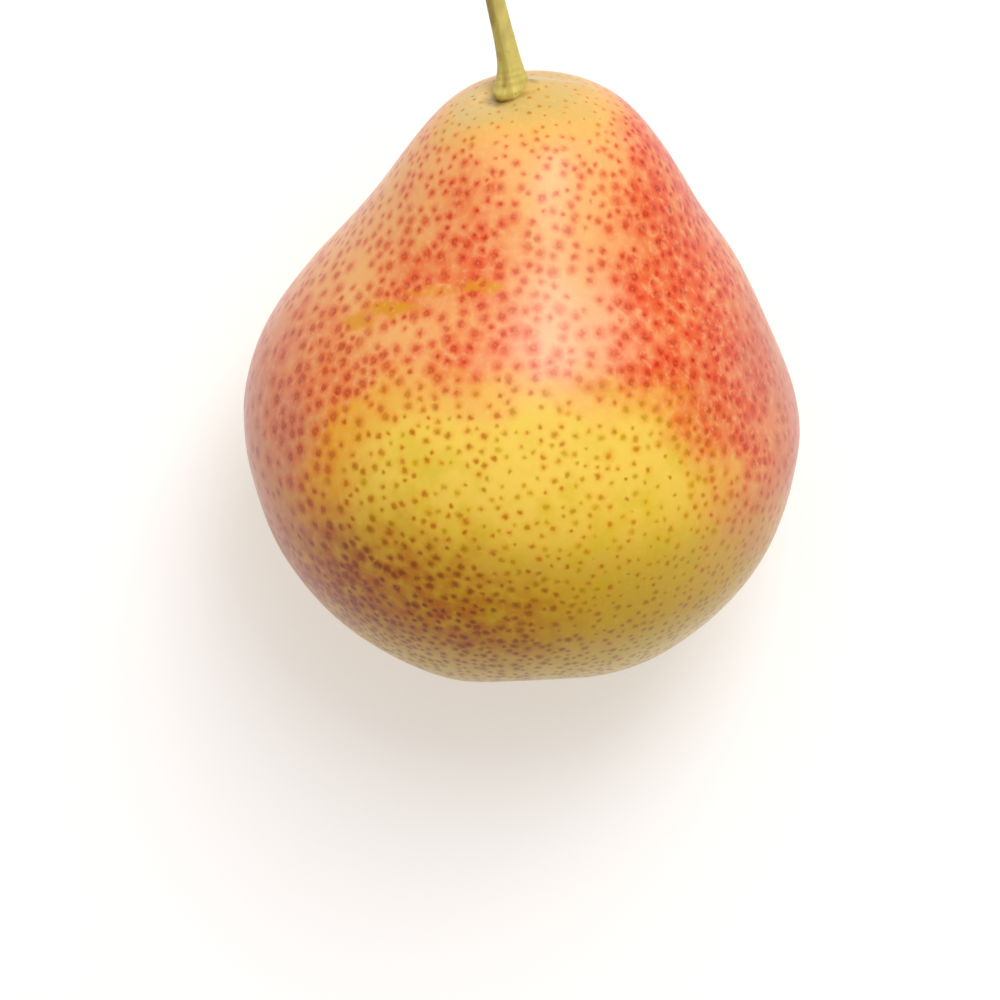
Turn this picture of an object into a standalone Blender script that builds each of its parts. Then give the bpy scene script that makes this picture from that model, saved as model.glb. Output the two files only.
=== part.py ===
"""A squat blushed pear lying on its side: the fruit, its stem and its dried calyx.

Run it with: blender --background --python part.py
Metres, +Z up. The pear rests on z = 0 on a small flat spot, with its stem towards +Y and its calyx
towards -Y. The origin is the middle of the bottom of its bounding box.
"""

import math

import bmesh
import bpy
import numpy as np
from mathutils import Matrix, Vector

MM = 0.001

# The fruit's own frame: its axis is Z with the stem end up, and its widest ring is at height 0.
# Its -Y side is the one that faces up once the pear is laid down.
# The outline is (radius, height) in millimetres, from the calyx basin to the crown.
OUTLINE_MM = [
    (0.0, -22.5),
    (2.9, -22.7),
    (6.2, -24.3),
    (10.0, -26.2),
    (14.1, -25.9),
    (19.9, -23.2),
    (25.4, -18.8),
    (30.0, -11.9),
    (32.5, -4.0),
    (33.05, 3.0),
    (30.8, 11.1),
    (26.5, 19.2),
    (20.3, 27.9),
    (14.8, 36.6),
    (10.8, 41.5),
    (6.2, 44.2),
    (2.6, 44.5),
    (0.0, 44.4),
]
RINGS_PER_SPAN = 2
FRUIT_SIDES = 60

# What keeps the fruit from being a plain turned shape.
# Its middle line is (distance to +X, height), and wanders a little.
MIDDLE_LINE_MM = [
    (-1.0, -30.0),
    (-0.05, -13.0),
    (-0.05, 0.0),
    (-0.8, 12.0),
    (0.65, 24.0),
    (1.55, 36.0),
    (1.55, 48.0),
]
LOBES = 5
LOBE_HEIGHT = 0.65 * MM
LOBE_TURN = math.radians(-47.0)
LOBE_TOP, LOBE_FULL = -17.0 * MM, -27.0 * MM
LOBE_CREST = 10.0 * MM  # from here in to the axis the lobes fade
LOBE_DROOP = -0.6  # how far a lobe's swell points towards the calyx, for each unit outwards
CALYX_END_TILT = 0.023  # the calyx end reaches further on the +X side by this slope
TILT_TOP, TILT_FULL = -6.0 * MM, -22.0 * MM

# How it lies
AXIS_RISE = math.radians(28.0)  # the stem end is up by this much from level
FLAT_DEPTH = 0.4 * MM  # how much of its roundness the small flat spot takes away

# The stem, which stands in a socket in the crown. Its stations are (along, bend to +X, radius).
STEM_ROOT = Vector((-0.95, -1.0, 44.4)) * MM
STEM_TILT = math.radians(-11.7)  # towards -X
STEM_FOOT = 3.4 * MM
STEM_STATIONS_MM = [
    (-3.4, 0.0, 1.5),
    (-0.9, 0.0, 1.7),
    (0.9, 0.0, 1.78),
    (3.2, 0.0, 1.45),
    (6.5, 0.05, 1.22),
    (11.0, 0.0, 1.1),
    (16.5, 0.1, 1.05),
    (21.5, 0.7, 1.15),
    (24.6, 1.35, 1.5),
    (26.6, 1.85, 1.85),
    (27.6, 2.1, 1.6),
]
STEM_BEVEL = 1.0 * MM  # a station's radius is in multiples of this
STEM_SOCKET_RADIUS = 2.05 * MM
GAP = 0.3 * MM  # between the fruit and what stands in it
CUTTER_CLEAR = 3.0 * MM  # how far a socket's cutter stands out of the fruit
SOCKET_SIDES = 24

# The calyx, which sits in the basin: a low button with five dried sepals
CALYX_SEAT = -22.5 * MM
CALYX_PLUG_RADIUS, CALYX_PLUG_DEPTH = 2.2 * MM, 2.0 * MM
CALYX_BUTTON_RADIUS, CALYX_BUTTON_HEIGHT = 1.75 * MM, 1.3 * MM
CALYX_BUTTON_SIDES = 20
CALYX_EYE_MARGIN, CALYX_EYE_DEPTH = 0.7 * MM, 0.35 * MM
SEPALS = 5
SEPAL_TURN = math.radians(18.0)
SEPAL_THICKNESS = 0.7 * MM
# Along a sepal: (distance from the axis, height above the seat, half width)
SEPAL_STATIONS_MM = [
    (0.9, 0.35, 1.2),
    (2.2, 0.75, 1.45),
    (3.6, 1.75, 1.35),
    (4.9, 2.95, 0.95),
    (5.9, 4.1, 0.3),
]

# Each finish is (colour, roughness)
SKIN = ((0.83, 0.42, 0.13), 0.4)
STALK = ((0.50, 0.40, 0.11), 0.6)
DRIED_FLOWER = ((0.13, 0.08, 0.045), 0.9)


def clear_scene():
    for thing in list(bpy.data.objects):
        bpy.data.objects.remove(thing, do_unlink=True)


def finish(name, look):
    colour, roughness = look
    material = bpy.data.materials.new(name)
    material.use_nodes = True
    shader = material.node_tree.nodes["Principled BSDF"]
    shader.inputs["Base Color"].default_value = (*colour, 1.0)
    shader.inputs["Roughness"].default_value = roughness
    shader.inputs["Metallic"].default_value = 0.0
    return material


def add_object(name, data, material=None, collection=None):
    thing = bpy.data.objects.new(name, data)
    (collection or bpy.context.scene.collection).objects.link(thing)
    if material:
        data.materials.append(material)
    return thing


def mesh_from(name, bm):
    bmesh.ops.recalc_face_normals(bm, faces=bm.faces[:])
    mesh = bpy.data.meshes.new(name)
    bm.to_mesh(mesh)
    bm.free()
    mesh.shade_smooth()
    mesh.set_sharp_from_angle(angle=math.radians(40.0))
    return mesh


def eased(value, start, end):
    """0 at start, 1 at end, with no corner at either."""
    share = min(1.0, max(0.0, (value - start) / (end - start)))
    return share * share * (3.0 - 2.0 * share)


def through(points, steps):
    """A smooth line through the points, with this many steps in each span (Catmull-Rom)."""
    ends = [2 * points[0] - points[1], *points, 2 * points[-1] - points[-2]]
    line = []
    for a, b, c, d in zip(ends, ends[1:], ends[2:], ends[3:]):
        for step in range(steps):
            t = step / steps
            bend = (2 * a - 5 * b + 4 * c - d) * t * t + (3 * b - a - 3 * c + d) * t**3
            line.append((2 * b + (c - a) * t + bend) / 2)
    return [*line, points[-1]]


def middle_line():
    """Heights along the fruit, and how far its middle stands to +X at each."""
    line = through([Vector((aside, height)) * MM for aside, height in MIDDLE_LINE_MM], 6)
    return [p.y for p in line], [p.x for p in line]


def grown(point, heights, asides):
    """Where a point of the turned shape goes on the real one: lobed below, and leaning."""
    height = point.z
    round_axis = math.atan2(point.y, point.x)
    share = eased(height, LOBE_TOP, LOBE_FULL) * min(1.0, point.xy.length / LOBE_CREST)
    swell = LOBE_HEIGHT * share * math.cos(LOBES * (round_axis - LOBE_TURN))
    outward = Vector((math.cos(round_axis), math.sin(round_axis), LOBE_DROOP)).normalized()
    aside = float(np.interp(height, heights, asides))
    tilt = -CALYX_END_TILT * eased(height, TILT_TOP, TILT_FULL) * point.x
    return point + outward * swell + Vector((aside, 0.0, tilt))


def down_in_the_fruit(pose):
    """The world's down direction, in the fruit's own frame."""
    return (pose.matrix_world.to_3x3().inverted() @ Vector((0.0, 0.0, -1.0))).normalized()


def make_flat_spot(bm, down):
    """Cuts off the lowest part by a level plane and closes it with one flat face."""
    lowest = max(down.dot(v.co) for v in bm.verts)
    cut = bmesh.ops.bisect_plane(
        bm,
        geom=bm.verts[:] + bm.edges[:] + bm.faces[:],
        dist=1e-7,
        plane_co=down * (lowest - FLAT_DEPTH),
        plane_no=down,
        clear_outer=True,
    )
    rim = [e for e in cut["geom_cut"] if isinstance(e, bmesh.types.BMEdge)]
    bmesh.ops.contextual_create(bm, geom=rim)


def make_fruit(pose, material):
    bm = bmesh.new()
    outline = through([Vector((r, 0.0, z)) * MM for r, z in OUTLINE_MM], RINGS_PER_SPAN)
    spine = [bm.verts.new(p) for p in outline]
    edges = [bm.edges.new(pair) for pair in zip(spine, spine[1:])]
    turn = {"cent": (0, 0, 0), "axis": (0, 0, 1), "angle": math.tau, "steps": FRUIT_SIDES}
    bmesh.ops.spin(bm, geom=spine + edges, use_merge=True, **turn)
    bmesh.ops.remove_doubles(bm, verts=bm.verts[:], dist=1e-6)
    heights, asides = middle_line()
    for v in bm.verts:
        v.co = grown(v.co, heights, asides)
    bmesh.ops.recalc_face_normals(bm, faces=bm.faces[:])
    make_flat_spot(bm, down_in_the_fruit(pose))
    fruit = add_object("fruit", mesh_from("fruit", bm), material)
    fruit.parent = pose
    return fruit


def make_stem(pose, material):
    """A round stalk of changing thickness, thicker at its root and at the end it grew from."""
    stations = through([Vector((bend, 0.0, along)) for along, bend, _ in STEM_STATIONS_MM], 2)
    radii = through([Vector((radius, 0.0, 0.0)) for _, _, radius in STEM_STATIONS_MM], 2)
    curve = bpy.data.curves.new("stem", "CURVE")
    curve.dimensions = "3D"
    curve.bevel_depth = STEM_BEVEL
    curve.bevel_resolution = 4
    curve.use_fill_caps = True
    spline = curve.splines.new("POLY")
    spline.points.add(len(stations) - 1)
    for point, place, radius in zip(spline.points, stations, radii):
        point.co = (*(place * MM), 1.0)
        point.radius = radius.x
    spline.use_smooth = True
    stem = add_object("stem", curve, material)
    stem.location = STEM_ROOT
    stem.rotation_euler = (0.0, STEM_TILT, 0.0)
    stem.parent = pose
    return stem


def make_sepal(number, collection):
    """One dried sepal: a thin pointed blade that rises from the button along the basin."""
    turned = Matrix.Rotation(SEPAL_TURN + number * math.tau / SEPALS, 3, "Z")
    half = SEPAL_THICKNESS / 2
    bm = bmesh.new()
    rings = []
    for out, up, width in through([Vector(s) * MM for s in SEPAL_STATIONS_MM], 2):
        corners = [(out, -width, up), (out, 0.0, up - half), (out, width, up), (out, 0.0, up + half)]
        rings.append([bm.verts.new(turned @ Vector(c)) for c in corners])
    for ring, following in zip(rings, rings[1:]):
        for i in range(4):
            j = (i + 1) % 4
            bm.faces.new((ring[i], ring[j], following[j], following[i]))
    bm.faces.new(rings[0])
    bm.faces.new(rings[-1])
    return add_object(f"sepal_{number + 1}", mesh_from("sepal", bm), collection=collection)


def make_calyx(pose, material):
    bm = bmesh.new()
    bmesh.ops.create_cone(
        bm,
        cap_ends=True,
        segments=CALYX_BUTTON_SIDES,
        radius1=CALYX_PLUG_RADIUS,
        radius2=CALYX_BUTTON_RADIUS,
        depth=CALYX_PLUG_DEPTH + CALYX_BUTTON_HEIGHT,
    )
    middle = (CALYX_BUTTON_HEIGHT - CALYX_PLUG_DEPTH) / 2
    bmesh.ops.translate(bm, verts=bm.verts[:], vec=(0.0, 0.0, middle))
    top = [f for f in bm.faces if f.normal.z > 0.9]
    bmesh.ops.inset_region(bm, faces=top, thickness=CALYX_EYE_MARGIN, depth=-CALYX_EYE_DEPTH)
    calyx = add_object("calyx", mesh_from("calyx", bm), material)

    crown = bpy.data.collections.new("sepals")
    bpy.context.scene.collection.children.link(crown)
    for number in range(SEPALS):
        make_sepal(number, crown)
    union = calyx.modifiers.new("sepals", "BOOLEAN")
    union.operand_type = "COLLECTION"
    union.collection = crown
    union.operation = "UNION"
    union.solver = "EXACT"
    bpy.context.view_layer.objects.active = calyx
    bpy.ops.object.modifier_apply(modifier=union.name)
    for sepal in list(crown.objects):
        bpy.data.objects.remove(sepal, do_unlink=True)
    bpy.data.collections.remove(crown)

    calyx.location = (0.0, 0.0, CALYX_SEAT)
    calyx.rotation_euler = (math.pi, 0.0, 0.0)
    calyx.parent = pose
    return calyx


def cut_socket(fruit, name, radius, depth, standing):
    """A round hole in the fruit, in line with the piece that stands in it."""
    bm = bmesh.new()
    sides = {"segments": SOCKET_SIDES, "radius1": radius, "radius2": radius}
    bmesh.ops.create_cone(bm, cap_ends=True, depth=depth + CUTTER_CLEAR, **sides)
    bmesh.ops.translate(bm, verts=bm.verts[:], vec=(0.0, 0.0, (CUTTER_CLEAR - depth) / 2))
    cutter = add_object(name, mesh_from(name, bm))
    cutter.location = standing.location
    cutter.rotation_euler = standing.rotation_euler
    cutter.parent = fruit.parent
    cutter.hide_render = True
    cutter.display_type = "WIRE"
    cut = fruit.modifiers.new(name, "BOOLEAN")
    cut.object = cutter
    cut.operation = "DIFFERENCE"
    cut.solver = "EXACT"


def stand_on_the_floor(pose, parts):
    """Moves the pear so that the middle of its box's bottom is the origin."""
    bpy.context.view_layer.update()
    graph = bpy.context.evaluated_depsgraph_get()
    corners = []
    for part in parts:
        evaluated = part.evaluated_get(graph)
        mesh = evaluated.to_mesh()
        corners += [evaluated.matrix_world @ v.co for v in mesh.vertices]
        evaluated.to_mesh_clear()
    low = Vector([min(c[i] for c in corners) for i in range(3)])
    high = Vector([max(c[i] for c in corners) for i in range(3)])
    pose.location = (-(low.x + high.x) / 2, -(low.y + high.y) / 2, -low.z)
    bpy.context.view_layer.update()


def main():
    clear_scene()
    pose = add_object("pose", None)
    pose.rotation_euler = (AXIS_RISE - math.pi / 2, 0.0, 0.0)
    bpy.context.view_layer.update()

    fruit = make_fruit(pose, finish("skin", SKIN))
    stem = make_stem(pose, finish("stem", STALK))
    calyx = make_calyx(pose, finish("calyx", DRIED_FLOWER))
    cut_socket(fruit, "stem_socket", STEM_SOCKET_RADIUS, STEM_FOOT + GAP, stem)
    cut_socket(fruit, "calyx_socket", CALYX_PLUG_RADIUS + GAP, CALYX_PLUG_DEPTH + GAP, calyx)
    stand_on_the_floor(pose, [fruit, stem, calyx])


main()
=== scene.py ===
"""The looks of a squat blushed pear lying on its side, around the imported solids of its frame."""

import math
import random

import bpy
import numpy as np
from bpy.props import FloatProperty, FloatVectorProperty, IntProperty, PointerProperty
from mathutils import Matrix, Vector
from mathutils.kdtree import KDTree


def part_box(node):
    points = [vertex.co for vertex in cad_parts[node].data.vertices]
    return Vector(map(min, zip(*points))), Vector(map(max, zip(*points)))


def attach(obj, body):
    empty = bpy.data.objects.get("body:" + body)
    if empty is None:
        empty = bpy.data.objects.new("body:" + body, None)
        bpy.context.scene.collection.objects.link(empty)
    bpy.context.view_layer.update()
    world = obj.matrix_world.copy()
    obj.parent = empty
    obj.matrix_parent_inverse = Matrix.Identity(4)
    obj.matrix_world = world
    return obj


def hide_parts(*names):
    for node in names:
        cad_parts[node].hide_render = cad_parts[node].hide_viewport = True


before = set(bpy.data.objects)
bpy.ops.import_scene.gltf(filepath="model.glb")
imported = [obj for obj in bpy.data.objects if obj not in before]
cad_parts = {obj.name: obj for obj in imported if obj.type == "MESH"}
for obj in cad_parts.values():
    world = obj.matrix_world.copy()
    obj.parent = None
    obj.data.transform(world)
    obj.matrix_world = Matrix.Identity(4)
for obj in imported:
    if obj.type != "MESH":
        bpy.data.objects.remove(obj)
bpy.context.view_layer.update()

bl_info = {
    "name": "Blushed pear",
    "version": (1, 0, 0),
    "blender": (4, 5, 0),
    "location": "3D View > Sidebar > Pear",
    "description": "Dresses the solids of a pear with its skin, stalk and dried calyx, on a pale stage",
    "category": "Object",
}

MM = 0.001
BODY = "root"

# The fruit's own frame: its axis is Z with the stem end up, its widest ring is at height 0, and its
# -Y side faces up once the pear lies down. The outline is (radius, height) from basin to crown.
OUTLINE_MM = [
    (0.0, -22.5), (2.9, -22.7), (6.2, -24.3), (10.0, -26.2),
    (14.1, -25.9), (19.9, -23.2), (25.4, -18.8), (30.0, -11.9),
    (32.5, -4.0), (33.05, 3.0), (30.8, 11.1), (26.5, 19.2),
    (20.3, 27.9), (14.8, 36.6), (10.8, 41.5), (6.2, 44.2),
    (2.6, 44.5), (0.0, 44.4),
]
# Its middle line is (distance to +X, height)
MIDDLE_LINE_MM = [
    (-1.0, -30.0), (-0.05, -13.0), (-0.05, 0.0), (-0.8, 12.0),
    (0.65, 24.0), (1.55, 36.0), (1.55, 48.0),
]
LOBES = 5
LOBE_HEIGHT = 0.65 * MM
LOBE_TURN = math.radians(-47.0)
LOBE_TOP, LOBE_FULL = -17.0 * MM, -27.0 * MM
LOBE_CREST = 10.0 * MM
LOBE_DROOP = -0.6
CALYX_END_TILT = 0.023
TILT_TOP, TILT_FULL = -6.0 * MM, -22.0 * MM
AXIS_RISE = math.radians(28.0)

# The stem, whose stations are (along, bend to +X, radius)
STEM_ROOT = Vector((-0.95, -1.0, 44.4)) * MM
STEM_TILT = math.radians(-11.7)
FOOT_SHIFT = 0.45 * MM  # the foot stands this far to -X of the stem's line
STEM_STATIONS_MM = [
    (-3.4, 0.0, 1.5), (-0.9, 0.0, 1.6), (0.9, 0.0, 1.78), (3.2, 0.0, 1.45),
    (6.5, 0.05, 1.22), (11.0, 0.0, 1.1), (16.5, 0.1, 1.05), (21.5, 0.7, 1.15),
    (24.6, 1.35, 1.5), (26.6, 1.85, 1.85), (27.6, 2.1, 1.6),
]

# The calyx: a button with five dried sepals, each (distance from the axis, height, half width)
CALYX_SEAT = -22.5 * MM
CALYX_BUTTON_RADIUS = 1.75 * MM
SEPALS = 5
SEPAL_TURN = math.radians(18.0)
SEPAL_STATIONS_MM = [
    (0.9, 0.35, 1.2), (2.2, 0.75, 1.45), (3.6, 1.75, 1.35), (4.9, 2.95, 0.95), (5.9, 4.1, 0.3),
]


def eased(value, start, end):
    """0 at start, 1 at end, with no corner at either. It takes numbers and arrays."""
    share = np.clip((value - start) / (end - start), 0.0, 1.0)
    return share * share * (3.0 - 2.0 * share)


def through(points, steps):
    """A smooth line through the points, with this many steps in each span (Catmull-Rom)."""
    points = [Vector(p) for p in points]
    ends = [2 * points[0] - points[1], *points, 2 * points[-1] - points[-2]]
    line = []
    for a, b, c, d in zip(ends, ends[1:], ends[2:], ends[3:]):
        for step in range(steps):
            t = step / steps
            bend = (2 * a - 5 * b + 4 * c - d) * t * t + (3 * b - a - 3 * c + d) * t**3
            line.append((2 * b + (c - a) * t + bend) / 2)
    return [*line, points[-1]]


def evenly(line, count):
    """The line again, as this many points an equal way apart."""
    path = np.array([p[:] for p in line])
    along = np.concatenate([[0.0], np.cumsum(np.linalg.norm(np.diff(path, axis=0), axis=1))])
    places = np.linspace(0.0, along[-1], count)
    return np.stack([np.interp(places, along, path[:, i]) for i in range(path.shape[1])], axis=1)


# Small helpers for modelling with operators


def start_fresh():
    if bpy.context.mode != "OBJECT":
        bpy.ops.object.mode_set(mode="OBJECT")
    bpy.ops.object.select_all(action="DESELECT")


def only(piece):
    start_fresh()
    piece.select_set(True)
    bpy.context.view_layer.objects.active = piece


def edit(choice=None):
    """Enters edit mode, with everything selected or deselected if the choice says so."""
    bpy.ops.object.mode_set(mode="EDIT")
    if choice:
        bpy.ops.mesh.select_all(action=choice)


def leave():
    bpy.ops.object.mode_set(mode="OBJECT")


def points_of(piece):
    co = np.empty(len(piece.data.vertices) * 3)
    piece.data.vertices.foreach_get("co", co)
    return co.reshape(-1, 3)


def move_points(piece, co):
    piece.data.vertices.foreach_set("co", np.ascontiguousarray(co, dtype=float).ravel())
    piece.data.update()


def merged_and_facing_out(piece, distance=1e-7):
    only(piece)
    edit("SELECT")
    bpy.ops.mesh.remove_doubles(threshold=distance)
    bpy.ops.mesh.normals_make_consistent(inside=False)
    leave()


def applied(piece, kind, **settings):
    """Adds a modifier with these settings and applies it."""
    only(piece)
    modifier = piece.modifiers.new(kind.lower(), kind)
    for key, value in settings.items():
        setattr(modifier, key, value)
    bpy.ops.object.modifier_apply(modifier=modifier.name)


def drawn(name, path):
    """A chain of points along the path, drawn by extruding one vertex."""
    start_fresh()
    bpy.ops.mesh.primitive_plane_add(size=MM, location=(0.0, 0.0, 0.0))
    piece = bpy.context.object
    piece.name = piece.data.name = name
    edit("SELECT")
    bpy.ops.mesh.merge(type="CENTER")
    bpy.ops.transform.translate(value=path[0])
    for here, there in zip(path, path[1:]):
        bpy.ops.mesh.extrude_region_move(TRANSFORM_OT_translate={"value": there - here})
    leave()
    return piece


def laid_down():
    """From the fruit's own frame to the row's, but for the last shift."""
    return Matrix.Rotation(AXIS_RISE - math.pi / 2, 4, "X")


def ring_centre():
    """Where the middle of the widest ring is, from the box that the fruit's solid fills."""
    low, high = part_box("fruit")
    lying = laid_down().to_3x3()
    heights, asides = middle_line()
    turned = np.array([(r, z) for r, z, *_ in evenly(through(outline_points(), 8), 300)])
    angles = np.linspace(0.0, math.tau, 361)[:-1]
    ring = np.stack([np.cos(angles), np.sin(angles)], axis=1)
    co = np.concatenate([np.column_stack([ring * r, np.full(len(ring), z)]) for r, z in turned])
    co = grown(co, heights, asides) @ np.array(lying).T
    return Vector((low.x - co[:, 0].min(), high.y - co[:, 1].max(), high.z - co[:, 2].max()))


def outline_points():
    return [Vector((r, z, 0.0)) * MM for r, z in OUTLINE_MM]


def middle_line():
    """Heights along the fruit, and how far its middle stands to +X at each."""
    line = through([Vector((aside, height, 0.0)) * MM for aside, height in MIDDLE_LINE_MM], 6)
    return [p.y for p in line], [p.x for p in line]


def grown(co, heights, asides):
    """Where points of the turned shape go on the real one: lobed below, and leaning."""
    x, y, z = co.T
    angle = np.arctan2(y, x)
    share = eased(z, LOBE_TOP, LOBE_FULL) * np.minimum(1.0, np.hypot(x, y) / LOBE_CREST)
    swell = LOBE_HEIGHT * share * np.cos(LOBES * (angle - LOBE_TURN)) / math.hypot(1.0, LOBE_DROOP)
    outward = np.stack([np.cos(angle), np.sin(angle), np.full_like(z, LOBE_DROOP)], axis=1)
    tilt = -CALYX_END_TILT * eased(z, TILT_TOP, TILT_FULL) * x
    shift = np.stack([np.interp(z, heights, asides), np.zeros_like(z), tilt], axis=1)
    return co + outward * swell[:, None] + shift


RING_CENTRE = ring_centre()


def to_row(co):
    """Points from the fruit's own frame to the row's."""
    return co @ np.array(laid_down().to_3x3()).T + np.array(RING_CENTRE)


def place_piece(piece, node):
    """Carried by the body, and shown in place of the node."""
    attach(piece, BODY)
    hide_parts(node)


# Shader graphs


class Graph:
    """Adds nodes to one material, so that a formula reads as one. Lengths are in millimetres."""

    def __init__(self, name):
        self.material = bpy.data.materials.new(name)
        self.material.use_nodes = True
        self.tree = self.material.node_tree
        self.shader = self.tree.nodes["Principled BSDF"]
        coordinates = self.tree.nodes.new("ShaderNodeTexCoord")
        self.place = self.vector("SCALE", coordinates.outputs["Object"], scale=1.0 / MM)

    def link(self, value, socket):
        if isinstance(value, bpy.types.NodeSocket):
            self.tree.links.new(value, socket)
        elif isinstance(value, (int, float)) or not hasattr(socket, "default_value"):
            socket.default_value = value
        else:
            wide = len(socket.default_value)
            socket.default_value = [*value, 1.0][:wide] if len(value) < wide else list(value)[:wide]

    def math(self, operation, *values, clamp=False):
        node = self.tree.nodes.new("ShaderNodeMath")
        node.operation = operation
        node.use_clamp = clamp
        for value, socket in zip(values, node.inputs):
            self.link(value, socket)
        return node.outputs[0]

    def times(self, total, *others):
        for value in others:
            total = self.math("MULTIPLY", total, value)
        return total

    def plus(self, first, second, clamp=False):
        return self.math("ADD", first, second, clamp=clamp)

    def without(self, share):
        """What is left of 1 when the share is taken away."""
        return self.math("SUBTRACT", 1.0, share)

    def vector(self, operation, *values, scale=None):
        node = self.tree.nodes.new("ShaderNodeVectorMath")
        node.operation = operation
        for value, socket in zip(values, node.inputs):
            self.link(value, socket)
        if scale is not None:
            self.link(scale, node.inputs["Scale"])
        return node.outputs["Value" if operation in ("DISTANCE", "LENGTH", "DOT_PRODUCT") else "Vector"]

    def step(self, value, start, end):
        """0 up to start and 1 from end, eased in between. Start may be past end."""
        node = self.tree.nodes.new("ShaderNodeMapRange")
        node.interpolation_type = "SMOOTHSTEP"
        flipped = start > end if isinstance(start, (int, float)) else False
        low, high = (end, start) if flipped else (start, end)
        for given, socket in zip((value, low, high, 1.0 * flipped, 1.0 - flipped), node.inputs):
            self.link(given, socket)
        return node.outputs[0]

    def mixed(self, kind, sockets, given):
        node = self.tree.nodes.new("ShaderNodeMix")
        node.data_type = kind
        for value, socket in zip(given, sockets):
            self.link(value, node.inputs[socket])
        return node.outputs

    def between(self, share, first, second):
        """A number that goes from first to second."""
        return self.mixed("FLOAT", (0, 2, 3), (share, first, second))[0]

    def mix(self, share, first, second):
        """A colour that goes from first to second."""
        return self.mixed("RGBA", (0, 6, 7), (share, first, second))[2]

    def choose(self, share, first, second):
        """The first vector where share is 0, and the second where it is 1."""
        return self.mixed("VECTOR", (0, 4, 5), (share, first, second))[1]

    def noise_node(self, size, where):
        node = self.tree.nodes.new("ShaderNodeTexNoise")
        self.link(self.place if where is None else where, node.inputs["Vector"])
        self.link(1.0 / size, node.inputs["Scale"])
        return node

    def noise(self, size, detail=2.0, where=None, stretch=None):
        """Noise from 0 to 1 whose features are about this size in millimetres."""
        if stretch:
            where = self.vector("MULTIPLY", self.place if where is None else where, stretch)
        node = self.noise_node(size, where)
        self.link(detail, node.inputs["Detail"])
        return node.outputs["Fac"]

    def noise_vector(self, size, reach):
        """A vector that wanders by up to this reach, in millimetres."""
        colour = self.noise_node(size, None).outputs["Color"]
        centred = self.vector("SUBTRACT", colour, (0.5, 0.5, 0.5))
        return self.vector("SCALE", centred, scale=2.0 * reach)

    def random(self, seed_vector):
        node = self.tree.nodes.new("ShaderNodeTexWhiteNoise")
        node.noise_dimensions = "3D"
        self.link(seed_vector, node.inputs["Vector"])
        return node.outputs["Value"]

    def attribute(self, name):
        node = self.tree.nodes.new("ShaderNodeAttribute")
        node.attribute_name = name
        return node.outputs["Vector"]

    def turned(self, where, location, angle):
        """Coordinates in a frame that stands at the location and is turned about X by the angle."""
        node = self.tree.nodes.new("ShaderNodeMapping")
        node.vector_type = "TEXTURE"
        self.link(where, node.inputs["Vector"])
        self.link(location, node.inputs["Location"])
        self.link((angle, 0.0, 0.0), node.inputs["Rotation"])
        return node.outputs["Vector"]

    def moved(self, where, offset):
        return self.vector("ADD", where, offset)

    def parts(self, where):
        node = self.tree.nodes.new("ShaderNodeSeparateXYZ")
        self.link(where, node.inputs[0])
        return node.outputs[0], node.outputs[1], node.outputs[2]

    def blob(self, where, centre, radii, soft):
        """1 inside an ellipsoid and 0 outside, over an edge this wide as a share of its size."""
        offset = self.vector("SUBTRACT", where, centre)
        squeezed = self.vector("DIVIDE", offset, radii)
        return self.step(self.vector("LENGTH", squeezed), 1.0 + soft, 1.0 - soft)

    def bump(self, height, distance, strength):
        node = self.tree.nodes.new("ShaderNodeBump")
        self.link(height, node.inputs["Height"])
        node.inputs["Distance"].default_value = distance
        node.inputs["Strength"].default_value = strength
        return node.outputs["Normal"]

    def set(self, **values):
        """Sets the shader's sockets, by name with underscores for spaces."""
        for name, value in values.items():
            self.link(value, self.shader.inputs[name.replace("_", " ")])


# What a user would change


def tint(name, description, default):
    return FloatVectorProperty(name=name, description=description, subtype="COLOR", default=default)


def spacing(name, default):
    about = "Mean way from one lenticel to the next"
    return FloatProperty(name=name, description=about, unit="LENGTH", default=default)


class PearSkinSettings(bpy.types.PropertyGroup):
    sides: IntProperty(name="Sides", description="Faces round the fruit", default=324, min=24)
    rings: IntProperty(name="Rings", description="Faces from basin to crown", default=276, min=24)
    undulation: FloatProperty(
        name="Undulation", description="How uneven the skin is", default=0.35 * MM, unit="LENGTH"
    )
    red_spacing: spacing("Speckle spacing in the blush", 1.95 * MM)
    yellow_spacing: spacing("Speckle spacing in the yellow", 1.72 * MM)
    calyx_spacing: spacing("Speckle spacing at the calyx end", 1.35 * MM)
    yellow: tint("Yellow", "Ground colour", (0.88, 0.59, 0.085))
    # Its darkening towards the calyx end, away from the key light, is partly painted shade
    gold_and_shade: tint("Gold", "Riper ground", (0.70, 0.40, 0.006))
    green: tint("Green", "Greener ground", (0.68, 0.48, 0.006))
    blush: tint("Blush", "Ground in the blush", (0.88, 0.37, 0.165))
    halo: tint("Halo", "Round a red speckle", (0.78, 0.065, 0.018))
    deep: tint("Deep red", "A red speckle's ring", (0.46, 0.022, 0.006))
    speckle: tint("Brown speckle", "In the yellow", (0.50, 0.18, 0.003))
    pore: tint("Pore", "A speckle's middle", (0.90, 0.36, 0.12))
    russet: tint("Russet", "Corky scuffs", (0.74, 0.30, 0.01))
    tan: tint("Tan", "Ground low on the left", (0.52, 0.095, 0.003))
    mauve_and_veil: tint("Mauve", "Dull blush on the flanks", (0.66, 0.15, 0.105))


class PearStemSettings(bpy.types.PropertyGroup):
    sides: IntProperty(name="Sides", description="Faces round the stem", default=48, min=8)
    rings: IntProperty(name="Rings", description="Faces along the stem", default=190, min=12)
    olive: tint("Olive", "The stem's main colour", (0.75, 0.62, 0.18))
    # Brown patches, more of them on the left side, where they are partly painted shade
    brown: tint("Brown", "Its weathered side", (0.24, 0.13, 0.04))


class PearCalyxSettings(bpy.types.PropertyGroup):
    brown: tint("Brown", "Dried sepals", (0.10, 0.055, 0.028))
    straw: tint("Straw", "Their lighter edges", (0.33, 0.21, 0.10))


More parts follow.
